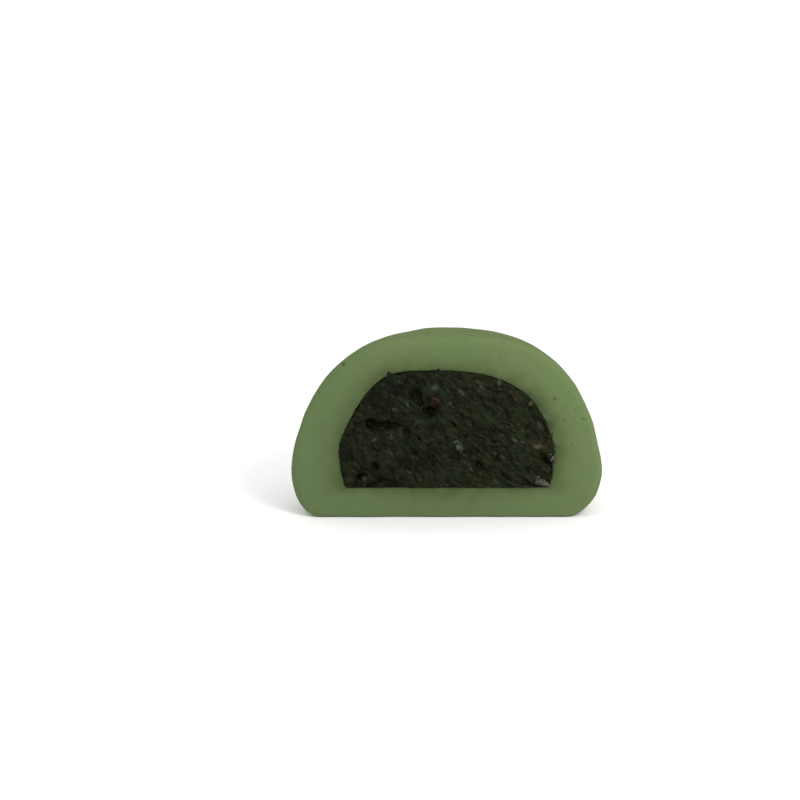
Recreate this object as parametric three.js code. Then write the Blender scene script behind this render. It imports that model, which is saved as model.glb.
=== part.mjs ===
// Half a daifuku: a dome of soft green rice dough, cut down through its middle, round a filling of coarse bean
// paste. Millimetres, +Z up. The cut face looks along -Y, the uncut back swells towards +Y, and the dough rests
// on its flat underside.
//
// Both pieces are stacks of rings. Each ring is found along rays from a heart in the middle of the cut, so the
// same few functions give the dough's outside, the hollow that holds the paste, and the paste itself.

import * as THREE from "three";

// Driving dimensions of the two domes. Heights are measured from the table.
const DOUGH = {
  halfWidth: 27.05, // at the bulge, the widest height
  floor: 0,
  bulge: 8.5,
  top: 32.2,
  footInset: 5.4, // how far the underside's edge lies inside the bulge
  footSkew: 0.85, // how much further it does so on the right, and less on the left
  crownPower: 1.7, // near 1 slopes the sides in from the bulge, 2 and over keeps them upright
  shoulderPower: 3, // over 2 squares the shoulders and flattens the crown
  lean: 0.6, // sideways shift of the crown
  leanPower: 2, // how late the shift sets in on the way up
  swell: 0.01, // unevenness of the hand-shaped surface, as a share of its size
};
const PASTE = {
  halfWidth: 18.6,
  floor: 5.2,
  bulge: 12.5,
  top: 26.3,
  footInset: 1.3,
  footSkew: 0,
  crownPower: 1.25,
  shoulderPower: 3.3,
  lean: -2.4,
  leanPower: 6,
  swell: 0.012,
};
const SEAM_GAP = 0.3; // clear space between the dough and the paste
const EDGE_ROUND = 1.3; // radius of the soft edge between the cut and the outside
const HEEL_ROUND = 0.5; // the same edge where the knife met the table
const CUT_SINK = 0.4; // how far the cut dough falls back towards the paste
const LUMP_HEIGHT = 0.26; // coarse relief of the cut paste

const HEART_HEIGHT = 12; // the rays start here, inside both domes
const AROUND = 88; // points on each ring
const DOUGH_RINGS = 17;
const PASTE_RINGS = 11;
const EDGE_STEPS = 4; // rings round the soft edge
const CUT_STEPS = 3; // rings across the cut dough
const FACE_RINGS = 9; // rings across the cut paste
const HALVINGS = 45; // steps that close in on a surface point

// A dome's width at one height, as a share of its widest: a rounded foot, then shoulders, then a flat crown.
// The side runs from -1 at the left to 1 at the right.
function fullness(dome, height, side) {
  if (height < dome.bulge) {
    const down = (dome.bulge - height) / (dome.bulge - dome.floor);
    const inset = (dome.footInset + dome.footSkew * side) / dome.halfWidth;
    return 1 - inset * (1 - Math.sqrt(Math.max(0, 1 - down * down)));
  }
  const up = (height - dome.bulge) / (dome.top - dome.bulge);
  return Math.pow(Math.max(0, 1 - Math.pow(up, dome.crownPower)), 1 / dome.shoulderPower);
}

function isInside(dome, point) {
  if (point.z < dome.floor || point.z > dome.top) return false;
  const up = Math.max(0, point.z - dome.bulge) / (dome.top - dome.bulge);
  const sideways = point.x - dome.lean * Math.pow(up, dome.leanPower);
  const radius = Math.hypot(sideways, point.y);
  const side = radius > 0 ? sideways / radius : 0;
  return radius < dome.halfWidth * fullness(dome, point.z, side);
}

// Slow waves over the surface, between -1 and 1, from the direction of the ray.
function handShaping(direction) {
  const { x, y, z } = direction;
  return Math.sin(3.3 * x + 0.7) * Math.cos(2.9 * z - 0.4) * Math.cos(4.1 * y + 0.3);
}

// The point where a ray from the heart leaves the dome.
function surfacePoint(dome, heart, direction) {
  let inside = 0;
  let outside = 2 * dome.halfWidth;
  for (let step = 0; step < HALVINGS; step++) {
    const middle = (inside + outside) / 2;
    const point = heart.clone().addScaledVector(direction, middle);
    if (isInside(dome, point)) inside = middle;
    else outside = middle;
  }
  const point = heart.clone().addScaledVector(direction, inside);
  // The waves die out at the crown and the floor, so that both stay at their stated heights.
  const height = (point.z - dome.floor) / (dome.top - dome.floor);
  const wave = dome.swell * handShaping(direction) * 4 * height * (1 - height);
  point.x *= 1 + wave;
  point.y *= 1 + wave;
  return point;
}

function rayDirection(tilt, turn) {
  return new THREE.Vector3(
    Math.cos(tilt) * Math.cos(turn),
    Math.sin(tilt),
    Math.cos(tilt) * Math.sin(turn),
  );
}

// Rings over a dome from just short of its back pole to the outline in the heart's own plane, and the pole.
function domeRings(dome, heart, ringCount) {
  const rings = [];
  for (let ringIndex = 1; ringIndex <= ringCount; ringIndex++) {
    const tilt = (Math.PI / 2) * (1 - ringIndex / ringCount);
    const ring = [];
    for (let step = 0; step < AROUND; step++) {
      const turn = (2 * Math.PI * step) / AROUND;
      ring.push(surfacePoint(dome, heart, rayDirection(tilt, turn)));
    }
    rings.push(ring);
  }
  const pole = surfacePoint(dome, heart, rayDirection(Math.PI / 2, 0));
  return { pole, rings };
}

// Unit vectors in the cut's plane that point into the outline from each of its points.
function inwardNormals(outline) {
  return outline.map((point, index) => {
    const before = outline[(index + AROUND - 1) % AROUND];
    const after = outline[(index + 1) % AROUND];
    return new THREE.Vector3(before.z - after.z, 0, after.x - before.x).normalize();
  });
}

// Rings that roll the outline over a quarter circle onto the plane of the cut, y = 0.
function softEdge(outline) {
  const normals = inwardNormals(outline);
  const rings = [];
  for (let step = 1; step <= EDGE_STEPS; step++) {
    const angle = (Math.PI / 2) * (step / EDGE_STEPS);
    const ring = outline.map((point, index) => {
      const rise = Math.min(1, point.z / EDGE_ROUND);
      const radius = HEEL_ROUND + (EDGE_ROUND - HEEL_ROUND) * rise;
      const inset = normals[index].clone().multiplyScalar(radius * (1 - Math.cos(angle)));
      const rolled = point.clone().add(inset);
      rolled.y = point.y * (1 - Math.sin(angle));
      return rolled;
    });
    rings.push(ring);
  }
  return rings;
}

// Rings across the cut dough, which falls back a little towards the hollow's rim.
function cutRings(outer, rim) {
  const rings = [];
  for (let step = 1; step < CUT_STEPS; step++) {
    const share = step / CUT_STEPS;
    const ring = outer.map((point, index) => {
      const across = point.clone().lerp(rim[index], share);
      across.y = CUT_SINK * share * share;
      return across;
    });
    rings.push(ring);
  }
  return rings;
}

// Height of the cut paste's lumps, between -1 and 1.
function lumps(x, z) {
  const broad = Math.sin(0.9 * x + 0.4 * z) * Math.cos(0.8 * z - 0.3 * x + 1);
  const fine = Math.sin(1.9 * x - 1.2 * z + 2) * Math.cos(1.6 * z + 0.7 * x);
  return 0.6 * broad + 0.4 * fine;
}

// Rings across the cut paste, from inside its rim to just short of its middle.
function faceRings(rim, middle) {
  const rings = [];
  for (let step = 1; step < FACE_RINGS; step++) {
    const share = step / FACE_RINGS;
    const ring = rim.map((point) => {
      const across = point.clone().lerp(middle, share);
      across.y = CUT_SINK + LUMP_HEIGHT * lumps(across.x, across.z);
      return across;
    });
    rings.push(ring);
  }
  return rings;
}

// A closed body through a stack of rings, with a single point at each end.
function bodyFromRings(firstPoint, rings, lastPoint) {
  const points = [firstPoint, ...rings.flat(), lastPoint];
  const lastIndex = points.length - 1;
  const at = (ringIndex, step) => 1 + ringIndex * AROUND + (step % AROUND);
  const faces = [];
  for (let step = 0; step < AROUND; step++) {
    faces.push(0, at(0, step + 1), at(0, step));
    for (let ringIndex = 0; ringIndex < rings.length - 1; ringIndex++) {
      const corner = at(ringIndex, step);
      const beside = at(ringIndex, step + 1);
      const below = at(ringIndex + 1, step);
      const opposite = at(ringIndex + 1, step + 1);
      // Each four-sided cell folds along its shorter diagonal.
      const falling = points[corner].distanceTo(points[opposite]);
      const rising = points[beside].distanceTo(points[below]);
      if (falling < rising) faces.push(corner, beside, opposite, corner, opposite, below);
      else faces.push(corner, beside, below, below, beside, opposite);
    }
    const end = rings.length - 1;
    faces.push(at(end, step), at(end, step + 1), lastIndex);
  }
  const geometry = new THREE.BufferGeometry().setFromPoints(points);
  geometry.setIndex(faces);
  geometry.computeVertexNormals();
  return geometry;
}

// The hollow is the paste's own dome, larger by the gap all round.
function hollowOf(paste) {
  return {
    ...paste,
    halfWidth: paste.halfWidth + SEAM_GAP,
    floor: paste.floor - SEAM_GAP,
    top: paste.top + SEAM_GAP,
  };
}

function makeDough() {
  const outside = domeRings(DOUGH, new THREE.Vector3(0, EDGE_ROUND, HEART_HEIGHT), DOUGH_RINGS);
  const hollow = domeRings(hollowOf(PASTE), new THREE.Vector3(0, CUT_SINK, HEART_HEIGHT), PASTE_RINGS);
  const edge = softEdge(outside.rings.at(-1));
  const cut = cutRings(edge.at(-1), hollow.rings.at(-1));
  const rings = [...outside.rings, ...edge, ...cut, ...hollow.rings.reverse()];
  const material = new THREE.MeshStandardMaterial({ color: 0x748a58, roughness: 0.6, metalness: 0 });
  const mesh = new THREE.Mesh(bodyFromRings(outside.pole, rings, hollow.pole), material);
  mesh.name = "rice_dough";
  return mesh;
}

function makePaste() {
  const heart = new THREE.Vector3(0, CUT_SINK, HEART_HEIGHT);
  const outside = domeRings(PASTE, heart, PASTE_RINGS);
  const rings = [...outside.rings, ...faceRings(outside.rings.at(-1), heart)];
  const material = new THREE.MeshStandardMaterial({ color: 0x1e2114, roughness: 0.4, metalness: 0 });
  const mesh = new THREE.Mesh(bodyFromRings(outside.pole, rings, heart), material);
  mesh.name = "bean_paste";
  return mesh;
}

// The pieces are drawn about the middle of the cut, then shifted so that the origin is under the middle.
const pieces = new THREE.Group();
pieces.add(makeDough(), makePaste());
const extent = new THREE.Box3().setFromObject(pieces);
const middle = extent.getCenter(new THREE.Vector3());
pieces.position.set(-middle.x, -middle.y, -extent.min.z);

const cutMochi = new THREE.Group();
cutMochi.add(pieces);

export default cutMochi;
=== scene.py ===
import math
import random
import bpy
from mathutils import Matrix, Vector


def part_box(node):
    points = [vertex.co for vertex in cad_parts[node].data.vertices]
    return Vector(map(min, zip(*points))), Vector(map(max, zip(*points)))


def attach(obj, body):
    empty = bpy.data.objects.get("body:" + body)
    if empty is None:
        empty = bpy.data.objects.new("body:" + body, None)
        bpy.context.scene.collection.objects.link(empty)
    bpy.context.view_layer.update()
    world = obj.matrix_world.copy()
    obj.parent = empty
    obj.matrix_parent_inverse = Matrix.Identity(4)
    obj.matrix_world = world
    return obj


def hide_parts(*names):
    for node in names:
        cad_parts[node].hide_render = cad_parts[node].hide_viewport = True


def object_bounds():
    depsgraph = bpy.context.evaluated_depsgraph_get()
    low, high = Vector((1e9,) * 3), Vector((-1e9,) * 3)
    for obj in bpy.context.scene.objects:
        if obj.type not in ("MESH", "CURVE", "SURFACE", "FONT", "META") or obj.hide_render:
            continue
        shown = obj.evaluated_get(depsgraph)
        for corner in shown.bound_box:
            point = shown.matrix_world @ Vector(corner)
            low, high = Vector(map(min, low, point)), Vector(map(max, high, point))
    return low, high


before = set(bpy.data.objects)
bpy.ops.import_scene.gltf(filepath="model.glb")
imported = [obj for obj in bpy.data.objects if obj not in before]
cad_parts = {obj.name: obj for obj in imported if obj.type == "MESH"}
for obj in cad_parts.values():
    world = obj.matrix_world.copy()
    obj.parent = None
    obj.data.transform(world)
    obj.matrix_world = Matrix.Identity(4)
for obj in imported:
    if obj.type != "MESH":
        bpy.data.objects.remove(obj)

# Half a filled rice cake: soft green dough cut open round coarse dark bean paste. The shapes are worked
# out in millimetres about the middle of the cut (x along it, y behind it, z above the table), with the
# same domes as the CAD model, and are then fitted to the CAD model's box.

from types import SimpleNamespace

import bmesh
import bpy
import numpy as np
from mathutils import Vector, noise

cad_low, cad_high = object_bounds()
MM = 0.001
BODY = "root"

# ---------------------------------------------------------------- sizes

dough_low, dough_high = (np.array(corner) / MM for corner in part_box("rice_dough"))
paste_low, paste_high = (np.array(corner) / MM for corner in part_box("bean_paste"))

# Each dome has a rounded foot up to its bulge, and shoulders and a crown above it.
DOUGH = SimpleNamespace(
    half_width=(dough_high[0] - dough_low[0]) / 2,
    floor=0.0,
    bulge=8.5,
    top=dough_high[2],
    foot_inset=5.4,
    foot_skew=0.85,
    crown_power=1.7,
    shoulder_power=3.0,
    lean=0.6,
    lean_power=2,
    swell=0.01,
)
PASTE = SimpleNamespace(
    half_width=(paste_high[0] - paste_low[0]) / 2,
    floor=paste_low[2] + 0.1,
    bulge=12.5,
    top=paste_high[2] - 0.2,
    foot_inset=1.3,
    foot_skew=0.0,
    crown_power=1.25,
    shoulder_power=3.3,
    lean=-2.4,
    lean_power=6,
    swell=0.012,
)
HEART_HEIGHT = 12.0  # height of the heart, from which rays find the domes' surfaces
EDGE_ROUND = 1.3  # radius of the soft edge between the cut and the outside
HEEL_ROUND = 0.35  # the same edge where the knife met the table
CUT_SINK = 0.4  # how far the cut dough falls back towards the paste
RIM_ROUND = 0.25  # radius of the dough's edge against the paste
HALVINGS = 40  # steps that close in on a surface point

DOUGH_AROUND = 576
DOUGH_BACK_RINGS = 84
EDGE_STEPS = 12
CUT_STEPS = 34
PASTE_GRID = 145  # cells from the middle of the cut paste to its rim

# How far back the rings in the hollow, and those behind the paste's face, are tilted, in radians.
HOLLOW_TILTS = (0.02, 0.05, 0.1, 0.2, 0.4, 0.7, 1.0, 1.3, 1.5)
PASTE_TILTS = (0.05, 0.12, 0.25, 0.5, 0.8, 1.1, 1.4)

# The dough's points run from its back to the cut. These count them up to halfway across the cut dough,
# and up to the hollow's rim.
RINGS_TO_CUT = DOUGH_BACK_RINGS + EDGE_STEPS
OUTER_POINTS = 1 + (RINGS_TO_CUT + CUT_STEPS // 2) * DOUGH_AROUND
CUT_END = 1 + (RINGS_TO_CUT + CUT_STEPS) * DOUGH_AROUND

DOUGH_CENTRE = np.array([0, 8, 11])  # dents move the dough's surface away from here or towards it
DRAG_ANGLE = math.radians(-38)  # the way the knife dragged the paste, from upper left to lower right


# ---------------------------------------------------------------- domes


def fullness(dome, height, side):
    """A dome's width at each height, as a share of its widest."""
    down = np.clip((dome.bulge - height) / (dome.bulge - dome.floor), 0, 1)
    inset = (dome.foot_inset + dome.foot_skew * side) / dome.half_width
    foot = 1 - inset * (1 - np.sqrt(1 - down**2))
    up = np.clip((height - dome.bulge) / (dome.top - dome.bulge), 0, 1)
    crown = (1 - up**dome.crown_power) ** (1 / dome.shoulder_power)
    return np.where(height < dome.bulge, foot, crown)


def is_inside(dome, points):
    x, y, z = points.T
    up = np.clip((z - dome.bulge) / (dome.top - dome.bulge), 0, 1)
    sideways = x - dome.lean * up**dome.lean_power
    radius = np.hypot(sideways, y)
    side = sideways / np.maximum(radius, 1e-9)
    return (z >= dome.floor) & (z <= dome.top) & (radius < dome.half_width * fullness(dome, z, side))


def hand_shaping(directions):
    """Slow waves over the surface, between -1 and 1."""
    x, y, z = directions.T
    return np.sin(3.3 * x + 0.7) * np.cos(2.9 * z - 0.4) * np.cos(4.1 * y + 0.3)


def surface_points(dome, heart, directions):
    """Where rays from the heart leave the dome, found by halving."""
    inside = np.zeros(len(directions))
    outside = np.full(len(directions), 2 * dome.half_width)
    for _ in range(HALVINGS):
        middle = (inside + outside) / 2
        kept = is_inside(dome, heart + directions * middle[:, None])
        inside = np.where(kept, middle, inside)
        outside = np.where(kept, outside, middle)
    points = heart + directions * inside[:, None]
    height = np.clip((points[:, 2] - dome.floor) / (dome.top - dome.floor), 0, 1)
    wave = dome.swell * hand_shaping(directions) * 4 * height * (1 - height)
    points[:, :2] *= 1 + wave[:, None]
    return points


def rays(tilt, turns):
    """Directions tilted back from the plane of the cut, one for each turn round it."""
    flat = math.cos(tilt)
    back = np.full_like(turns, math.sin(tilt))
    return np.stack([flat * np.cos(turns), back, flat * np.sin(turns)], axis=1)


def even_turns(dome, heart, count):
    """Turns that space points evenly round the dome's outline, from straight below the heart."""
    turns = np.linspace(-0.5 * math.pi, 1.5 * math.pi, 4001)
    outline = surface_points(dome, heart, rays(0, turns))
    lengths = np.r_[0, np.cumsum(np.linalg.norm(np.diff(outline, axis=0), axis=1))]
    return np.interp(np.arange(count) * lengths[-1] / count, lengths, turns)


# ---------------------------------------------------------------- noise


def soft_noise(points, size, seed):
    """Smooth noise, about -1 to 1, with features of the given size."""
    return np.array([noise.noise(Vector(point)) for point in points / size + 17.3 * seed]) * 1.6


def cell_noise(points, size, seed):
    """Lumps of the given size: how far each point is from a crease, and its lump's own value."""
    creases = np.empty(len(points))
    values = np.empty(len(points))
    for index, point in enumerate(points / size + 9.1 * seed):
        distances, centres = noise.voronoi(Vector(point))
        creases[index] = distances[1] - distances[0]
        values[index] = noise.cell(centres[0] * 7.7)
    return creases, values


def smooth_step(low, high, value):
    share = np.clip((value - low) / (high - low), 0, 1)
    return share * share * (3 - 2 * share)


# ---------------------------------------------------------------- meshes


def fit_to_frame(points):
    """Maps the dough's own box onto the CAD model's box, and everything else with it."""
    share = (points - own_low) / (own_high - own_low)
    low, high = np.array(cad_low), np.array(cad_high)
    return low + share * (high - low)


def mesh_object(name, points, faces, material, attributes=None):
    """A smooth-shaded mesh piece from millimetre points, riding on the CAD body."""
    mesh = bpy.data.meshes.new(name)
    mesh.from_pydata(fit_to_frame(points).tolist(), [], faces)
    mesh.polygons.foreach_set("use_smooth", [True] * len(mesh.polygons))
    for attribute_name, values in (attributes or {}).items():
        layer = mesh.attributes.new(attribute_name, "FLOAT", "POINT")
        layer.data.foreach_set("value", np.asarray(values, dtype=np.float32))
    mesh.materials.append(material)
    mesh.update()
    piece = bpy.data.objects.new(name, mesh)
    bpy.context.scene.collection.objects.link(piece)
    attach(piece, BODY)
    return piece


def ring_faces(ring_count, around):
    """Faces of a closed body: a first point, a stack of rings, and a last point."""
    step = np.arange(around)
    after = (step + 1) % around
    faces = [(0, 1 + b, 1 + a) for a, b in zip(step, after)]
    for ring in range(ring_count - 1):
        here = 1 + ring * around
        there = here + around
        faces += zip(here + step, here + after, there + after, there + step)
    here = 1 + (ring_count - 1) * around
    last = here + around
    faces += [(here + a, here + b, last) for a, b in zip(step, after)]
    return [tuple(map(int, face)) for face in faces]


# ---------------------------------------------------------------- dough


def inward_normals(outline):
    """Unit vectors in the plane of the cut that point into the outline from each of its points."""
    along = np.roll(outline, -1, axis=0) - np.roll(outline, 1, axis=0)
    normals = np.stack([-along[:, 2], np.zeros(len(outline)), along[:, 0]], axis=1)
    return normals / np.linalg.norm(normals, axis=1)[:, None]


def dough_rings():
    """The dough as rings from its back pole, round the soft edge, across the cut and into the hollow."""
    heart = np.array([0, EDGE_ROUND, HEART_HEIGHT])
    turns = even_turns(DOUGH, heart, DOUGH_AROUND)
    tilts = 0.5 * math.pi * (1 - np.arange(1, DOUGH_BACK_RINGS + 1) / DOUGH_BACK_RINGS)
    rings = [surface_points(DOUGH, heart, rays(tilt, turns)) for tilt in tilts]
    outline = rings[-1]

    normals = inward_normals(outline)
    radius = HEEL_ROUND + (EDGE_ROUND - HEEL_ROUND) * np.clip(outline[:, 2] / (2 * EDGE_ROUND), 0, 1)
    for step in range(1, EDGE_STEPS + 1):
        angle = 0.5 * math.pi * step / EDGE_STEPS
        ring = outline + normals * (radius * (1 - math.cos(angle)))[:, None]
        ring[:, 1] = outline[:, 1] * (1 - math.sin(angle))
        rings.append(ring)

    hollow_heart = np.array([0, CUT_SINK, HEART_HEIGHT])
    rim = surface_points(PASTE, hollow_heart, rays(0, turns))
    crest = rings[-1]
    for step in range(1, CUT_STEPS + 1):
        share = step / CUT_STEPS
        ring = crest + (rim - crest) * share
        from_rim = np.linalg.norm(ring[:, [0, 2]] - rim[:, [0, 2]], axis=1)
        roll = np.clip(1 - from_rim / RIM_ROUND, 0, 1)
        ring[:, 1] = CUT_SINK * share**2 + RIM_ROUND * (1 - np.sqrt(1 - roll**2))
        rings.append(ring)
    deeper = np.array([0, CUT_SINK + RIM_ROUND, HEART_HEIGHT])
    for tilt in HOLLOW_TILTS:
        rings.append(surface_points(PASTE, deeper, rays(tilt, turns)))
    first = surface_points(DOUGH, heart, rays(0.5 * math.pi, np.zeros(1)))
    last = surface_points(PASTE, deeper, rays(0.5 * math.pi, np.zeros(1)))
    return first, rings, last, rim


def shape_dough(points, from_rim):
    """Makes the smooth dome uneven: slow dents, small dimples and faint pull lines on the cut."""
    x, y, z = points.T
    clear_of_table = smooth_step(0.3, 4, z)
    outward = points - DOUGH_CENTRE
    outward /= np.linalg.norm(outward, axis=1)[:, None]
    dents = 0.16 * soft_noise(points, 9.0, 1) + 0.05 * soft_noise(points, 3.4, 2)
    dimples = 0.014 * soft_noise(points, 1.1, 3)
    on_cut = smooth_step(1.2, 0.2, y)
    behind = 1 - on_cut
    points = points + outward * ((dents * behind + dimples) * clear_of_table)[:, None]
    pull = np.stack([x / 0.9, 0 * x, z / 5.0], axis=1)
    face = 0.09 * soft_noise(points, 4.2, 4) + 0.03 * soft_noise(pull, 1.0, 5)
    inner = smooth_step(0, 1.2, from_rim)
    points[:, 1] += on_cut * (face * inner + 0.02)
    return points


def make_dough():
    """The dough's points, faces and colour attributes, and the rim of its hollow."""
    first, rings, last, rim = dough_rings()
    points = np.vstack([first, *rings, last])
    rims = np.vstack([rim[:1], *[rim] * len(rings), rim[:1]])
    from_rim = np.linalg.norm(points - rims, axis=1)
    points = shape_dough(points, from_rim)
    in_hollow = np.arange(len(points)) >= 1 + (len(rings) - len(HOLLOW_TILTS)) * DOUGH_AROUND
    # Painted shade: the dough darkens towards the paste, where the dark paste swallows the light that
    # passes through the dough.
    paste_side_shade = np.exp(-((from_rim / 2.6) ** 1.4)) * (1 + 0.25 * soft_noise(points, 2.4, 6))
    to_right = smooth_step(10, 17, points[:, 0]) * smooth_step(8, 12, points[:, 2])
    film = 0.5 + 0.3 * to_right + 0.6 * soft_noise(points, 1.2, 7) + 0.3 * soft_noise(points, 0.45, 8)
    smear_width = 0.35 + 0.75 * to_right
    smudge = np.clip(film, 0, 1) * np.exp(-from_rim / smear_width) * (0.35 + 0.60 * to_right)
    paste_side_shade[in_hollow] = 1
    smudge[in_hollow] = 1
    # Painted shade: the dough is darker towards the foot and towards its left side.
    to_foot = smooth_step(24, -4, points[:, 2] + 0.35 * points[:, 0])
    attributes = {
        "paste_side_shade": np.clip(paste_side_shade, 0, 1),
        "smudge": np.clip(smudge, 0, 1),
        "foot_and_left_shade": np.maximum(to_foot, 0.8 * smooth_step(-8, -22, points[:, 0])),
        # The outside skin: its own warmer tint, and painted shade that keeps the crown no brighter than
        # the cut.
        "skin": 0.85 * smooth_step(0.5, 1.6, points[:, 1]),
    }
    return points, ring_faces(len(rings), DOUGH_AROUND), attributes, rim


# ---------------------------------------------------------------- paste

# Places on the cut paste: x, z, the angle of the place's length, half its length, half its width, and
# its depth or strength.
HOLLOWS = (
    (-11.7, 16.4, -3, 4.0, 1.0, 1.4),
    (-13.3, 16.6, 10, 1.5, 1.3, 1.4),
    (-12.4, 9.3, 86, 2.0, 0.8, 0.8),
    (-15.1, 7.0, 30, 1.5, 0.9, 1.2),
    (-3.0, 18.7, 8, 2.6, 1.6, 1.5),
    (-2.5, 20.7, 12, 2.3, 2.0, 0.7),
    (-5.2, 21.5, -55, 3.0, 1.2, 0.9),
    (17.1, 10.3, -52, 3.0, 0.7, 1.1),
    (9.0, 10.6, 70, 1.4, 0.8, 0.5),
    (-18.0, 6.8, 74, 2.0, 0.7, 0.9),
    (-6.9, 15.2, -70, 1.3, 0.5, 0.4),
    (-10.2, 20.0, 0, 0.6, 0.4, 0.4),
    (7.6, 20.9, -40, 1.6, 0.5, 0.4),
    (-8.0, 12.6, -55, 3.4, 0.6, 0.4),
    (-11.2, 6.4, -10, 1.8, 0.7, 0.5),
    (10.2, 18.5, -20, 2.2, 0.45, 0.35),
    (5.6, 9.2, -70, 1.6, 0.6, 0.4),
)
RIDGES = (
    (-6.0, 20.0, -60, 3.2, 0.7, 0.22),
    (-8.6, 22.3, -10, 2.4, 0.6, 0.16),
    (-2.4, 23.0, 20, 2.2, 0.8, 0.20),
    (6.0, 23.9, -40, 3.2, 0.4, 0.20),
    (13.0, 22.2, -30, 2.0, 0.5, 0.18),
    (15.8, 15.8, -52, 2.0, 0.4, 0.20),
    (-9.0, 9.0, 60, 2.4, 1.6, 0.14),
    (-15.2, 12.0, 70, 3.0, 1.4, 0.12),
)
SCRATCHES = (
    (1.7, 16.1, -45, 3.4, 0.20, 0.5),
    (14.4, 20.6, -35, 2.2, 0.25, 0.4),
    (10.5, 15.6, -30, 2.6, 0.20, 0.35),
    (-5.6, 11.6, -52, 2.4, 0.25, 0.35),
    (5.2, 10.7, -28, 2.0, 0.20, 0.35),
)
# Greener places: the paste's own green tone, and at the top painted greenish highlights.
GREEN_TONE_AND_HIGHLIGHTS = (
    (-2.6, 23.0, 0, 2.4, 1.2, 1.0),
    (-6.6, 20.6, -55, 2.2, 1.0, 1.0),
    (-4.4, 16.6, -40, 1.8, 1.0, 0.5),
    (7.0, 18.2, -20, 3.0, 1.3, 0.7),
    (12.0, 15.0, -40, 1.8, 1.0, 0.6),
)
BROWN_PLACES = (
    (15.4, 13.0, 0, 2.6, 1.2, 1.0),
    (18.2, 13.2, 80, 1.8, 0.7, 0.6),
    (1.3, 8.5, 0, 2.4, 0.8, 0.6),
    (3.6, 25.5, -10, 1.9, 0.5, 0.8),
    (11.5, 21.8, -30, 2.8, 1.2, 0.5),
    (-3.0, 21.6, 0, 2.4, 1.4, 0.35),
)
# Mostly painted highlights, soft light streaks where the wet paste catches the lamp, and a few pale bits.
PALE_BITS_AND_HIGHLIGHTS = (
    (15.6, 12.7, 0, 1.0, 0.6, 1.0),
    (5.6, 23.9, -50, 1.5, 0.4, 0.9),
    (2.5, 22.3, -45, 1.3, 0.4, 0.7),
    (0.5, 20.4, 30, 0.7, 0.5, 0.6),
    (8.9, 24.0, 90, 1.7, 0.45, 0.6),
    (10.7, 22.3, 0, 0.6, 0.5, 0.5),
    (14.3, 20.4, 60, 0.8, 0.45, 1.0),
    (11.1, 17.3, -25, 1.1, 0.4, 0.5),
    (15.8, 16.7, -50, 1.0, 0.45, 1.0),
    (11.8, 13.7, -50, 1.3, 0.4, 0.8),
    (12.9, 13.2, 80, 0.6, 0.5, 0.6),
    (7.2, 13.2, -20, 0.9, 0.4, 0.5),
    (9.4, 10.8, 0, 0.6, 0.5, 0.5),
    (8.4, 6.5, -50, 1.2, 0.4, 0.7),
    (4.0, 8.9, -65, 1.2, 0.4, 0.5),
    (-2.3, 23.3, 60, 0.8, 0.5, 0.6),
    (-6.8, 20.3, -70, 0.8, 0.4, 0.8),
    (-5.5, 16.7, 45, 0.8, 0.4, 0.5),
    (-9.5, 14.7, 80, 0.8, 0.45, 0.6),
    (-12.4, 13.9, 40, 0.7, 0.45, 0.7),
    (-9.9, 11.8, -60, 1.5, 0.4, 0.4),
    (-13.5, 10.2, 60, 0.8, 0.4, 0.6),
    (-9.0, 19.4, 0, 0.9, 0.4, 0.4),
    (-14.4, 6.9, 15, 0.7, 0.4, 0.9),
    (-4.8, 6.8, -45, 0.7, 0.4, 0.4),
)


def along_drag(x, z):
    """Coordinates along and across the way the knife went."""
    along = x * math.cos(DRAG_ANGLE) + z * math.sin(DRAG_ANGLE)
    across = -x * math.sin(DRAG_ANGLE) + z * math.cos(DRAG_ANGLE)
    return along, across


def in_plane(x, z, stretch=1.0):
    """Points on the cut, shortened along the knife's path so that noise there is drawn out."""
    along, across = along_drag(x, z)
    return np.stack([along / stretch, 0 * x + 0.5, across], axis=1)


def strength_at(places, x, z, raggedness):
    """How strongly each point lies in any of the places, whose edges the raggedness frays."""
    strongest = np.zeros(len(x))
    for centre_x, centre_z, degrees, half_length, half_width, strength in places:
        angle = math.radians(degrees)
        length = (x - centre_x) * math.cos(angle) + (z - centre_z) * math.sin(angle)
        width = -(x - centre_x) * math.sin(angle) + (z - centre_z) * math.cos(angle)
        away = np.hypot(length / half_length, width / half_width) + raggedness
        strongest = np.maximum(strongest, strength * smooth_step(1.1, 0, away))
    return strongest


PASTE_PLANE = 0.30  # the knife's plane through the paste, behind the dough's crest
PASTE_FRONT = 0.06  # nothing on the paste's face stands further forward than this
SHEAR_SOFTNESS = 0.06  # how gently the tops of the lumps are rounded off at the knife's plane


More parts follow.
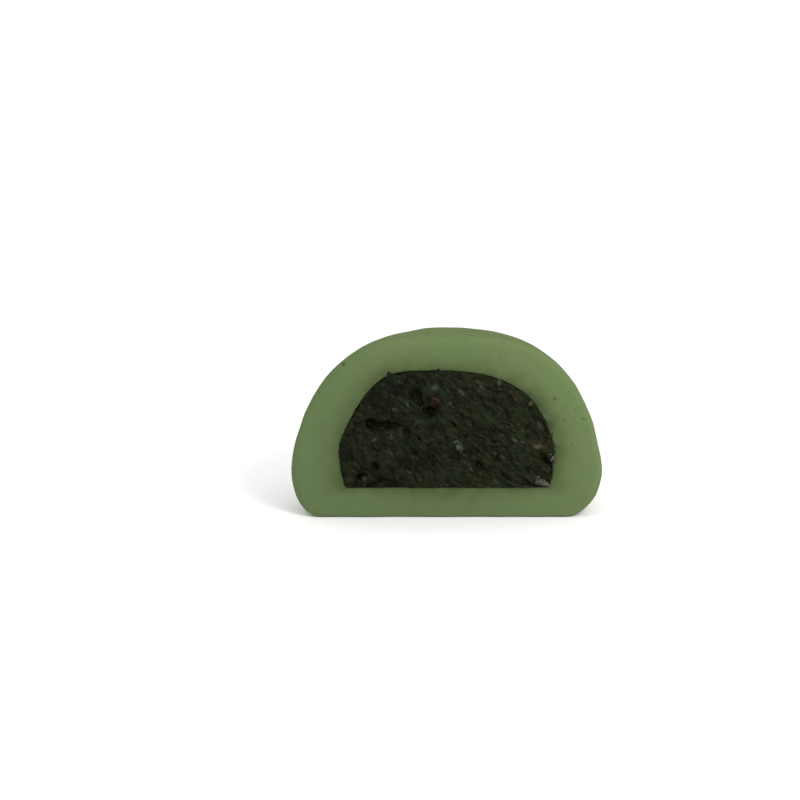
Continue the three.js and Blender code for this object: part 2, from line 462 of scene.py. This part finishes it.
def paste_face(x, z):
    """The cut paste at each point: its distance behind the dough's crest, and what its colours need."""
    flat = np.stack([x, 0 * x, z], axis=1)
    warp_x = soft_noise(flat, 2.1, 11)
    warp_z = soft_noise(flat, 2.1, 12)
    fine_warp = soft_noise(flat, 0.7, 17)
    to_right = smooth_step(-6, 8, x)
    crumbly = smooth_step(-0.2, 0.5, soft_noise(flat, 3.6, 13))
    bent_x = x + 0.6 * warp_x + 0.25 * fine_warp
    bent_z = z + 0.6 * warp_z - 0.25 * fine_warp
    big_crease, big_value = cell_noise(in_plane(bent_x, bent_z, 1.3), 2.6, 1)
    small_crease, small_value = cell_noise(in_plane(bent_x, bent_z, 1.8), 1.1, 2)
    grain_crease, grain_value = cell_noise(in_plane(bent_x, bent_z, 1.4), 0.5, 3)

    # Rounded lumps of three sizes, before the knife.
    crease_depth = 0.32 - 0.12 * to_right
    lumps = 0.16 * big_value + crease_depth * np.sqrt(smooth_step(0, 0.6, big_crease))
    bits = 0.12 * small_value + 0.16 * np.sqrt(smooth_step(0, 0.6, small_crease))
    grains = 0.07 * grain_value + 0.06 * smooth_step(0, 0.5, grain_crease)
    loose = 0.20 * soft_noise(in_plane(x, z, 1.5), 3.2, 15)
    gaps = 0.30 * soft_noise(in_plane(bent_x, bent_z, 3.0), 0.8, 20) * (0.15 + 0.85 * to_right)
    raw = lumps + (bits + grains) * (0.4 + 0.6 * crumbly) + loose + gaps - 0.30 + 0.08 * to_right

    # The knife shears what stands above its plane and drags it out in fine streaks.
    sheared = -SHEAR_SOFTNESS * np.logaddexp(0, -raw / SHEAR_SOFTNESS)
    on_plateau = smooth_step(-0.1, 0.1, raw)
    along, across = along_drag(x, z)
    drag = np.stack([along / 2.4, 0 * x, (across + 0.2 * warp_z) / 0.34], axis=1)
    streaks = 0.075 * soft_noise(drag, 1.0, 14) * (0.35 + 0.65 * to_right) * (0.5 + 0.5 * on_plateau)
    waves = 0.08 * soft_noise(flat, 3.0, 16) + 0.045 * soft_noise(flat, 0.6, 18)
    relief = sheared + streaks + waves + 0.04 * (grain_value + small_value) * on_plateau

    fray = 0.34 * soft_noise(flat, 1.4, 19) + 0.10 * fine_warp
    dip = strength_at(HOLLOWS, x, z, 0.65 * fray)
    relief -= dip + strength_at(SCRATCHES, x, z, 0.5 * fray)
    # Painted highlights, and a few pale bits, in the pale places.
    pale = strength_at(PALE_BITS_AND_HIGHLIGHTS, x, z, 0.6 * fray)
    relief += strength_at(RIDGES, x, z, fray) + 0.06 * pale
    # Painted shade in the pits and named hollows, and the paste darker towards the left.
    hollow = 0.6 * smooth_step(0.06, 0.45, -sheared) + 0.7 * smooth_step(0.05, 1.2, dip)
    hollow += 0.16 * (1 - to_right)
    attributes = {
        "hollow": np.clip(hollow, 0, 0.85),
        "green": strength_at(GREEN_TONE_AND_HIGHLIGHTS, x, z, 1.2 * fray),
        "brown": strength_at(BROWN_PLACES, x, z, 1.2 * fray),
        "pale": pale,
    }
    return np.maximum(PASTE_PLANE - relief, PASTE_FRONT), attributes


# Where the paste was smeared out over the dough, or is missing: x, z, how far, and half its width.
RIM_SPIKES = (
    (-9.8, 25.3, 1.1, 0.40),
    (-8.5, 25.7, -0.4, 0.5),
    (-1.5, 26.1, 0.6, 0.30),
    (10.9, 24.2, 0.3, 0.3),
    (14.6, 21.6, 0.4, 0.5),
    (17.2, 17.3, 0.4, 0.6),
    (18.0, 10.4, -0.6, 0.7),
    (16.9, 6.2, -0.7, 1.0),
)


def paste_rim(turns):
    """The paste's ragged outline, as points in the plane of the cut and their smooth counterparts."""
    heart = np.array([0, CUT_SINK, HEART_HEIGHT])
    smooth = surface_points(PASTE, heart, rays(0, turns))
    ragged = 0.06 + 0.24 * soft_noise(smooth, 0.9, 21) + 0.16 * soft_noise(smooth, 2.6, 22)
    ragged += 0.16 * np.abs(soft_noise(smooth, 0.35, 23))
    ragged *= 1 - 0.65 * smooth_step(6.5, 5.5, smooth[:, 2])  # the bottom edge is the straightest
    for spike_x, spike_z, reach, width in RIM_SPIKES:
        away = np.hypot(smooth[:, 0] - spike_x, smooth[:, 2] - spike_z)
        ragged += reach * np.exp(-((away / width) ** 2))
    outward = -inward_normals(smooth)
    return smooth, smooth + outward * ragged[:, None]


def grid_turn_shares(half_count):
    """For each point of a square grid, its ring's share of the way out and its place round that ring."""
    steps = np.arange(-half_count, half_count + 1)
    column, row = (part.ravel() for part in np.meshgrid(steps, steps))
    ring = np.maximum(np.abs(column), np.abs(row))
    sides = [row == -ring, column == ring, row == ring, column == -ring]
    places = [column + ring, 3 * ring + row, 5 * ring - column, 7 * ring - row]
    place = np.select(sides, places) / np.maximum(8 * ring, 1)
    return ring / half_count, place % 1


def make_paste():
    """The paste: a square grid pulled out to the cut's ragged outline, and a plain dome behind it."""
    heart = np.array([0, CUT_SINK, HEART_HEIGHT])
    rim_count = 8 * PASTE_GRID
    turns = even_turns(PASTE, heart, rim_count)
    smooth_rim, rim = paste_rim(turns)
    share, place = grid_turn_shares(PASTE_GRID)
    # The grid's lower left corner comes an eighth of the way round before the point below the heart.
    index = (place * rim_count - rim_count / 8) % rim_count
    low = np.floor(index).astype(int) % rim_count
    high = (low + 1) % rim_count
    blend = (index - np.floor(index))[:, None]

    def at_rim(outline):
        return outline[low] * (1 - blend) + outline[high] * blend

    reach = share[:, None]
    smooth = heart + (at_rim(smooth_rim) - heart) * reach
    ragged = at_rim(rim) - at_rim(smooth_rim)
    face = smooth + ragged * reach**24
    depth, attributes = paste_face(face[:, 0], face[:, 2])
    from_rim = np.linalg.norm((at_rim(rim) - face)[:, [0, 2]], axis=1)
    at_edge = smooth_step(0.9, 0.1, from_rim)
    edge_depth = 0.20 + 0.05 * soft_noise(face, 1.7, 24)
    roll = np.clip(1 - from_rim / 0.12, 0, 1)
    face[:, 1] = depth + (edge_depth - depth) * at_edge * 0.8 + 0.4 * (1 - np.sqrt(1 - roll**2))

    width = 2 * PASTE_GRID + 1
    corner = (np.arange(width - 1)[:, None] * width + np.arange(width - 1)[None, :]).ravel()
    faces = list(zip(corner, corner + 1, corner + width + 1, corner + width))

    on_rim = np.flatnonzero(share == 1)
    on_rim = on_rim[np.argsort(place[on_rim])]
    rim_turns = turns[np.round(index[on_rim]).astype(int) % rim_count]
    rings = []
    for tilt in PASTE_TILTS:
        rings.append(surface_points(PASTE, heart, rays(tilt, rim_turns)))
    pole = surface_points(PASTE, heart, rays(0.5 * math.pi, np.zeros(1)))
    around = np.arange(rim_count)
    loops = [on_rim] + [len(face) + ring * rim_count + around for ring in range(len(rings))]
    for near, far in zip(loops, loops[1:]):
        faces += zip(near, far, np.roll(far, -1), np.roll(near, -1))
    last = len(face) + len(rings) * rim_count
    faces += [(a, last, b) for a, b in zip(loops[-1], np.roll(loops[-1], -1))]
    points = np.vstack([face, *rings, pole])
    padding = np.zeros(len(points) - len(face))
    attributes = {name: np.r_[values, padding] for name, values in attributes.items()}
    return points, [tuple(map(int, corners)) for corners in faces], attributes


# ---------------------------------------------------------------- small pieces


def make_ball(subdivisions):
    form = bmesh.new()
    bmesh.ops.create_icosphere(form, subdivisions=subdivisions, radius=1)
    points = np.array([vertex.co[:] for vertex in form.verts])
    faces = [tuple(vertex.index for vertex in face.verts) for face in form.faces]
    form.free()
    return points, faces


BALLS = {subdivisions: make_ball(subdivisions) for subdivisions in (3, 4, 6)}
OUT_OF_CUT = (0, -1, 0)


def axes_facing(out, turn):
    """A long, an outward and a short direction as rows, the long one turned about the outward one."""
    out = Vector(out).normalized()
    level = Vector((1, 0, 0)) if abs(out.x) < 0.9 else Vector((0, 1, 0))
    level = (level - out * level.dot(out)).normalized()
    upright = out.cross(level)
    long = level * math.cos(turn) + upright * math.sin(turn)
    return np.array([long, out, long.cross(out)])


def pebble(place, half_sizes, axes, seed, unevenness=0.25, subdivisions=3):
    """An uneven lump, half_sizes long, thick and wide along its axes."""
    ball, faces = BALLS[subdivisions]
    swell = 1 + unevenness * soft_noise(ball, 0.8, seed)
    swell = swell + 0.5 * unevenness * soft_noise(ball, 0.35, seed + 0.5)
    return place + (ball * swell[:, None] * half_sizes) @ axes, faces


def joined(lumps):
    """Many lumps as the points and faces of one mesh."""
    points, faces, start = [], [], 0
    for lump_points, lump_faces in lumps:
        points.append(lump_points)
        faces += [tuple(corner + start for corner in face) for face in lump_faces]
        start += len(lump_points)
    return np.vstack(points), faces


def nearest_point(points, target, dimensions):
    """The index of the point nearest the target in the given dimensions."""
    dimensions = list(dimensions)
    return int(np.argmin(np.linalg.norm(points[:, dimensions] - target[dimensions], axis=1)))


def small_piece(name, lumps, material, attributes=None):
    """One piece made of many lumps, kept inside the dough's box."""
    points, faces = joined(lumps)
    piece = mesh_object(name, np.clip(points, own_low, own_high), faces, material, attributes)


def in_paste(x, z, height):
    """A point this far in front of the cut paste."""
    depth, _ = paste_face(np.array([x]), np.array([z]))
    return np.array([x, max(depth[0] - height, PASTE_FRONT), z])


BEAN_PLACE = np.array([-2.5, 1.15, 20.7])


def bean_lumps():
    """The one bean whose broken side shows, and a crumb of it."""
    axes = axes_facing((0.1, -1, 0.35), math.radians(12))
    whole, faces = pebble(BEAN_PLACE, (1.45, 0.78, 1.25), axes, 36, 0.16, 6)
    whole[:, 1] += 0.05 * soft_noise(whole, 0.7, 32) + 0.03 * soft_noise(whole, 0.25, 33)
    crumb = pebble(np.array([-1.3, 0.6, 19.7]), (0.45, 0.25, 0.3), axes, 34, 0.3, 4)
    return [(whole, faces), crumb]


SKIN_AND_GLINT_COUNT = 75


def anywhere_in_paste(dice):
    """A place on the cut paste, clear of its rim."""
    while True:
        x, z = dice.uniform(-18, 18), dice.uniform(5.6, 25.6)
        # Moved outwards by about a twentieth, the place must still lie in the paste's own dome.
        margin = np.array([[x / 0.96, CUT_SINK, 15 + (z - 15) / 0.95]])
        if is_inside(PASTE, margin)[0]:
            return x, z


def skin_and_glint_lumps():
    """Thin scraps of bean skin pressed in along the knife's path, more of them on the right, light enough
    to stand for painted glints.
    """
    dice = random.Random(41)
    lumps = []
    while len(lumps) < SKIN_AND_GLINT_COUNT:
        x, z = anywhere_in_paste(dice)
        if x < -2 and dice.random() < 0.75:
            continue
        half_sizes = (dice.uniform(0.25, 0.65), 0.05, dice.uniform(0.05, 0.10))
        tilt = (dice.gauss(0.1, 0.25), -1, dice.gauss(0.15, 0.25))
        axes = axes_facing(tilt, DRAG_ANGLE + dice.gauss(0, 0.25))
        lumps.append(pebble(in_paste(x, z, -0.01), half_sizes, axes, len(lumps), 0.3))
    return lumps


CRUMBS_ON_PASTE = 120
CRUMBS_ON_DOUGH = 45


def crumb_lumps(rim, cut):
    """Crumbs of paste that the knife left on the paste, and round its rim on the cut dough."""
    dice = random.Random(42)
    lumps = []
    while len(lumps) < CRUMBS_ON_PASTE:
        x, z = anywhere_in_paste(dice)
        size = dice.uniform(0.10, 0.26)
        half_sizes = (size * dice.uniform(1.0, 1.7), size * 0.8, size)
        axes = axes_facing(OUT_OF_CUT, dice.uniform(0, 3))
        lumps.append(pebble(in_paste(x, z, 0), half_sizes, axes, len(lumps), 0.35))
    while len(lumps) < CRUMBS_ON_PASTE + CRUMBS_ON_DOUGH:
        spot = rim[dice.randrange(len(rim))]
        smeared = spot[0] > 11 and spot[2] > 9
        if spot[2] < 6 or (not smeared and dice.random() > 0.5):
            continue
        outwards = np.array([spot[0], 0, spot[2] - HEART_HEIGHT])
        outwards /= np.linalg.norm(outwards)
        away = min(dice.expovariate(4), 0.9) if smeared else dice.uniform(0, 0.25)
        size = dice.uniform(0.05, 0.11)
        place = spot + outwards * away
        place[1] = cut[nearest_point(cut, place, (0, 2)), 1] - 0.3 * size
        half_sizes = (size * dice.uniform(1.0, 2.0), size * 0.6, size)
        axes = axes_facing(OUT_OF_CUT, dice.uniform(0, 3))
        lumps.append(pebble(place, half_sizes, axes, len(lumps), 0.35))
    return lumps


# Pale scraps of starch in the paste's lower right edge: x, depth, z, half length, half width, angle.
STARCH_PLACES = (
    (18.2, 0.35, 10.5, 0.55, 0.30, 70),
    (17.9, 0.30, 11.3, 0.30, 0.18, 20),
    (18.35, 0.30, 9.6, 0.35, 0.20, 80),
    (16.2, 0.30, 6.3, 0.75, 0.60, 12),
    (15.7, 0.32, 6.9, 0.50, 0.35, 60),
    (17.0, 0.34, 5.9, 0.65, 0.40, 8),
)

# Blue-green scraps of tea leaf in the paste: x, z, half length, half width, angle.
LEAF_PLACES = (
    (2.1, 12.9, 1.20, 0.48, 97),
    (1.5, 13.6, 0.45, 0.22, 20),
    (-4.6, 15.4, 0.28, 0.22, 0),
    (-1.9, 23.0, 0.35, 0.18, 60),
)


def starch_lumps():
    """The pale scraps in the paste's edge."""
    lumps = []
    for x, depth, z, half_length, half_width, degrees in STARCH_PLACES:
        axes = axes_facing(OUT_OF_CUT, math.radians(degrees))
        half_sizes = (half_length, 0.2, half_width)
        lumps.append(pebble(np.array([x, depth, z]), half_sizes, axes, 50 + len(lumps), 0.25, 4))
    return lumps


def leaf_lumps():
    """The scraps of tea leaf on the cut paste."""
    lumps = []
    for x, z, half_length, half_width, degrees in LEAF_PLACES:
        axes = axes_facing((0.05, -1, 0.1), math.radians(degrees))
        half_sizes = (half_length, 0.07, half_width)
        lumps.append(pebble(in_paste(x, z, 0.03), half_sizes, axes, 60 + len(lumps), 0.35, 4))
    return lumps


# Dark tea specks that show on the cut dough: x, z and half size.
SPECK_PLACES = (
    (-17.9, 27.6, 0.30),
    (18.5, 21.4, 0.26),
    (17.6, 20.7, 0.15),
    (23.5, 17.6, 0.18),
    (24.0, 16.0, 0.14),
    (20.0, 17.3, 0.18),
    (20.0, 12.8, 0.16),
    (-19.7, 11.0, 0.16),
    (22.1, 19.2, 0.13),
    (-22.0, 22.3, 0.16),
)
SPECK_COUNT = 24


def speck_lumps(skin_points, normals):
    """The specks of the cut dough, and more like them over the outside."""
    dice = random.Random(43)
    spots = [(np.array([x, 0.3, z]), size) for x, z, size in SPECK_PLACES]
    while len(spots) < SPECK_COUNT:
        direction = Vector((dice.gauss(0, 1), abs(dice.gauss(0, 1)), dice.gauss(0, 1))).normalized()
        target = np.array([0, 0, 11]) + DOUGH.half_width * np.array(direction)
        spots.append((target, dice.uniform(0.08, 0.18)))
    lumps = []
    for target, size in spots:
        nearest = nearest_point(skin_points, target, (0, 1, 2))
        out = normals[nearest].vector
        place = skin_points[nearest] - 0.15 * size * np.array(out)
        half_sizes = (size * dice.uniform(1.0, 1.6), size * 0.36, size)
        axes = axes_facing(out, dice.uniform(0, 3))
        lumps.append(pebble(place, half_sizes, axes, len(lumps), 0.3))
    return lumps


# ---------------------------------------------------------------- materials


class Recipe:
    """A node material in the making. Sizes are in millimetres."""

    def __init__(self, name):
        self.material = bpy.data.materials.new(name)
        self.material.use_nodes = True
        self.nodes = self.material.node_tree.nodes
        self.shader = self.nodes["Principled BSDF"]
        self.place = self.nodes.new("ShaderNodeTexCoord").outputs["Object"]

    def put(self, socket, value):
        """Sets an input to a constant, or links another node's output to it."""
        if isinstance(value, bpy.types.NodeSocket):
            self.material.node_tree.links.new(value, socket)
        else:
            socket.default_value = value

    def attribute(self, name):
        node = self.nodes.new("ShaderNodeAttribute")
        node.attribute_name = name
        return node.outputs["Fac"]

    def noise(self, size, detail=2.0, drawn_out=1.0):
        """Noise of the given size, drawn out along the knife's path."""
        mapping = self.nodes.new("ShaderNodeMapping")
        mapping.vector_type = "TEXTURE"
        self.put(mapping.inputs["Vector"], self.place)
        mapping.inputs["Rotation"].default_value = (0, -DRAG_ANGLE, 0)
        mapping.inputs["Scale"].default_value = (drawn_out, 1, 1)
        node = self.nodes.new("ShaderNodeTexNoise")
        self.put(node.inputs["Vector"], mapping.outputs["Vector"])
        node.inputs["Scale"].default_value = 1 / (size * MM)
        node.inputs["Detail"].default_value = detail
        return node.outputs["Fac"]

    def spread(self, value, from_low, from_high, to_low=0.0, to_high=1.0):
        node = self.nodes.new("ShaderNodeMapRange")
        self.put(node.inputs["Value"], value)
        node.inputs["From Min"].default_value = from_low
        node.inputs["From Max"].default_value = from_high
        node.inputs["To Min"].default_value = to_low
        node.inputs["To Max"].default_value = to_high
        return node.outputs["Result"]

    def mix(self, share, first, second):
        node = self.nodes.new("ShaderNodeMix")
        node.data_type = "RGBA"
        self.put(node.inputs["Factor"], share)
        for socket, colour in ((node.inputs[6], first), (node.inputs[7], second)):
            self.put(socket, colour if isinstance(colour, bpy.types.NodeSocket) else (*colour, 1))
        return node.outputs[2]

    def bump(self, height, depth, under=None):
        node = self.nodes.new("ShaderNodeBump")
        self.put(node.inputs["Height"], height)
        node.inputs["Strength"].default_value = 1
        node.inputs["Distance"].default_value = depth * MM
        if under is not None:
            self.put(node.inputs["Normal"], under)
        return node.outputs["Normal"]


def dough_material():
    recipe = Recipe("rice_dough")
    shader = recipe.shader.inputs
    mottle = recipe.spread(recipe.noise(6, 3), 0.3, 0.7)
    colour = recipe.mix(mottle, (0.108, 0.161, 0.062), (0.120, 0.156, 0.068))
    grain = recipe.spread(recipe.noise(0.35, 2), 0.45, 0.75)
    colour = recipe.mix(grain, colour, (0.130, 0.173, 0.081))
    # Painted shade towards the foot and the left.
    colour = recipe.mix(recipe.attribute("foot_and_left_shade"), colour, (0.098, 0.140, 0.062))
    # The outside skin's own warmer tint, darkened as painted shade against the extra light on the crown.
    warmth = recipe.spread(recipe.noise(13, 2), 0.30, 0.70)
    skin_tint_and_crown_shade = recipe.mix(warmth, (0.094, 0.130, 0.053), (0.104, 0.136, 0.052))
    colour = recipe.mix(recipe.attribute("skin"), colour, skin_tint_and_crown_shade)
    # Painted shade on the dough next to the paste.
    colour = recipe.mix(recipe.attribute("paste_side_shade"), colour, (0.064, 0.087, 0.035))
    colour = recipe.mix(recipe.attribute("smudge"), colour, (0.030, 0.034, 0.018))
    recipe.put(shader["Base Color"], colour)
    recipe.put(shader["Roughness"], recipe.spread(recipe.noise(1.5, 3), 0.3, 0.7, 0.58, 0.74))
    shader["Specular IOR Level"].default_value = 0.01
    shader["Subsurface Weight"].default_value = 0.3
    shader["Subsurface Radius"].default_value = (1.0, 1.15, 0.6)
    shader["Subsurface Scale"].default_value = 1.6 * MM
    broad = recipe.bump(recipe.noise(1.4, 3), 0.035)
    recipe.put(shader["Normal"], recipe.bump(recipe.noise(0.22, 2), 0.012, broad))
    return recipe.material


def paste_material():
    recipe = Recipe("bean_paste")
    shader = recipe.shader.inputs
    tone = recipe.spread(recipe.noise(1.1, 4, 1.8), 0.38, 0.62)
    colour = recipe.mix(tone, (0.0036, 0.0047, 0.0009), (0.0090, 0.0110, 0.0029))
    pale = recipe.spread(recipe.noise(0.6, 3, 2.5), 0.50, 0.72)
    colour = recipe.mix(pale, colour, (0.0190, 0.0220, 0.0090))
    green = recipe.spread(recipe.noise(2.8, 3), 0.54, 0.74)
    colour = recipe.mix(green, colour, (0.0065, 0.0135, 0.0052))
    # Green tone, with painted greenish highlights at the top.
    colour = recipe.mix(recipe.attribute("green"), colour, (0.0100, 0.0190, 0.0085))
    colour = recipe.mix(recipe.attribute("brown"), colour, (0.0205, 0.0168, 0.0076))
    # Painted glints: short light dashes along the knife's path.
    painted_glints = recipe.spread(recipe.noise(0.22, 2, 4.0), 0.64, 0.74)
    colour = recipe.mix(painted_glints, colour, (0.0300, 0.0340, 0.0190))
    # Painted highlights and pale bits.
    colour = recipe.mix(recipe.attribute("pale"), colour, (0.0560, 0.0600, 0.0370))
    # Painted shade in the pits and hollows.
    colour = recipe.mix(recipe.attribute("hollow"), colour, (0.0020, 0.0023, 0.0009))
    recipe.put(shader["Base Color"], colour)
    recipe.put(shader["Roughness"], recipe.spread(recipe.noise(0.7, 3), 0.3, 0.7, 0.22, 0.45))
    shader["Specular IOR Level"].default_value = 0.05
    fine = recipe.bump(recipe.noise(0.32, 3, 2.0), 0.04)
    recipe.put(shader["Normal"], recipe.bump(recipe.noise(0.12, 2), 0.015, fine))
    return recipe.material


def bean_material():
    """Mottled near-black and dark red-brown, and painted paler on the bean's upper right, the lamp's
    side.
    """
    recipe = Recipe("bean")
    shader = recipe.shader.inputs
    mottle = recipe.spread(recipe.noise(0.9, 3), 0.35, 0.65)
    colour = recipe.mix(mottle, (0.0030, 0.0020, 0.0009), (0.0085, 0.0045, 0.0022))
    colour = recipe.mix(recipe.attribute("painted_lit_side"), colour, (0.0360, 0.0210, 0.0130))
    recipe.put(shader["Base Color"], colour)
    recipe.put(shader["Roughness"], recipe.spread(recipe.noise(1.2, 2), 0.3, 0.7, 0.30, 0.45))
    shader["Specular IOR Level"].default_value = 0.05
    recipe.put(shader["Normal"], recipe.bump(recipe.noise(0.4, 2), 0.06))
    return recipe.material


def scrap_material(name, dark, light, size, roughness, specular):
    """A small piece's skin: two mottled tones over a fine bump."""
    recipe = Recipe(name)
    shader = recipe.shader.inputs
    mottle = recipe.spread(recipe.noise(size, 3), 0.35, 0.65)
    recipe.put(shader["Base Color"], recipe.mix(mottle, dark, light))
    wear = recipe.noise(size, 2)
    recipe.put(shader["Roughness"], recipe.spread(wear, 0.3, 0.7, roughness, roughness + 0.15))
    shader["Specular IOR Level"].default_value = specular
    recipe.put(shader["Normal"], recipe.bump(recipe.noise(size / 3, 2), size / 20))
    return recipe.material


def floor_material():
    recipe = Recipe("pale_floor")
    shader = recipe.shader.inputs
    soft = recipe.spread(recipe.noise(60, 2), 0.3, 0.7)
    recipe.put(shader["Base Color"], recipe.mix(soft, (0.93, 0.93, 0.93), (0.95, 0.95, 0.95)))
    shader["Roughness"].default_value = 0.8
    shader["Specular IOR Level"].default_value = 0.1
    return recipe.material


# ---------------------------------------------------------------- the object

dough_points, dough_faces, dough_attributes, dough_rim = make_dough()
own_low, own_high = dough_points.min(axis=0), dough_points.max(axis=0)
dough = mesh_object("rice_dough_skin", dough_points, dough_faces, dough_material(), dough_attributes)
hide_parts("rice_dough")

paste_points, paste_faces, paste_attributes = make_paste()
paste = mesh_object("bean_paste_core", paste_points, paste_faces, paste_material(), paste_attributes)
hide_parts("bean_paste")

bean = bean_lumps()
bean_offset = joined(bean)[0] - BEAN_PLACE
# Painted light: the bean is paler towards its upper right, where the lamp falls.
to_upper_right = bean_offset[:, 0] + bean_offset[:, 2] + 0.5 * soft_noise(bean_offset, 0.8, 35)
bean_attributes = {"painted_lit_side": 0.9 * smooth_step(-0.1, 1.9, to_upper_right)}
small_piece("bean_bit", bean, bean_material(), bean_attributes)

# Bean skin scraps whose light tone is partly painted glints.
skin_and_glint_looks = scrap_material("bean_skin_and_glints", (0.008, 0.010, 0.004), (0.027, 0.030, 0.017), 0.7, 0.25, 0.12)
small_piece("skin_scraps_and_glints", skin_and_glint_lumps(), skin_and_glint_looks)

crumb_looks = scrap_material("paste_crumb", (0.004, 0.005, 0.001), (0.012, 0.014, 0.005), 0.3, 0.35, 0.10)
crumbs = crumb_lumps(dough_rim, dough_points[OUTER_POINTS:CUT_END])
small_piece("paste_crumbs", crumbs, crumb_looks)

starch_looks = scrap_material("starch", (0.014, 0.012, 0.009), (0.080, 0.068, 0.057), 0.8, 0.45, 0.15)
small_piece("starch_scraps", starch_lumps(), starch_looks)

leaf_looks = scrap_material("leaf", (0.008, 0.014, 0.007), (0.043, 0.060, 0.038), 0.8, 0.35, 0.12)
small_piece("leaf_scraps", leaf_lumps(), leaf_looks)

speck_looks = scrap_material("tea_speck", (0.034, 0.048, 0.020), (0.080, 0.112, 0.048), 0.3, 0.55, 0.03)
specks = speck_lumps(dough_points[:OUTER_POINTS], dough.data.vertex_normals)
small_piece("tea_specks", specks, speck_looks)

# ---------------------------------------------------------------- floor, light and camera

# Places and distances are in metres here, and the lens in millimetres.
FLOOR_RADIUS = 3
FLOOR_DROP = 0.05 * MM  # keeps the floor clear of the dough's underside
KEY_PLACE = (0.13, -0.22, 0.20)
KEY_TARGET = (0, 0, 0.016)
KEY_SIZE = 0.10
KEY_WATTS = 0.45
KEY_COLOUR = (1.0, 0.99, 0.96)
WORLD_STRENGTH = 1.08
CAMERA_RISE = math.radians(15)
CAMERA_DISTANCE = 0.5
CAMERA_LENS = 127.4
CAMERA_AIM = Vector((-8.1 * MM, 0, 17.5 * MM))


def make_floor():
    mesh = bpy.data.meshes.new("floor")
    form = bmesh.new()
    bmesh.ops.create_circle(form, cap_ends=True, segments=96, radius=FLOOR_RADIUS)
    form.to_mesh(mesh)
    form.free()
    mesh.materials.append(floor_material())
    floor = bpy.data.objects.new("floor", mesh)
    floor.location.z = -FLOOR_DROP
    bpy.context.scene.collection.objects.link(floor)


def make_key_light():
    """One soft lamp from the upper right, in front of the cut."""
    light = bpy.data.lights.new("key", "AREA")
    light.shape = "DISK"
    light.size = KEY_SIZE
    light.energy = KEY_WATTS
    light.color = KEY_COLOUR
    lamp = bpy.data.objects.new("key", light)
    lamp.location = KEY_PLACE
    lamp.rotation_euler = (Vector(KEY_TARGET) - lamp.location).to_track_quat("-Z", "Y").to_euler()
    lamp.visible_camera = False
    bpy.context.scene.collection.objects.link(lamp)


def make_world():
    """An even white surround, which is also the background."""
    world = bpy.data.worlds.new("studio")
    world.use_nodes = True
    background = world.node_tree.nodes["Background"]
    background.inputs["Color"].default_value = (1, 1, 1, 1)
    background.inputs["Strength"].default_value = WORLD_STRENGTH
    bpy.context.scene.world = world


def make_camera():
    back = Vector((0, -math.cos(CAMERA_RISE), math.sin(CAMERA_RISE)))
    camera = bpy.data.objects.new("camera", bpy.data.cameras.new("camera"))
    camera.data.lens = CAMERA_LENS
    camera.location = CAMERA_AIM + back * CAMERA_DISTANCE
    camera.rotation_euler = (-back).to_track_quat("-Z", "Y").to_euler()
    bpy.context.scene.collection.objects.link(camera)
    bpy.context.scene.camera = camera


make_floor()
make_key_light()
make_world()
make_camera()
bpy.context.scene.view_settings.view_transform = "Standard"
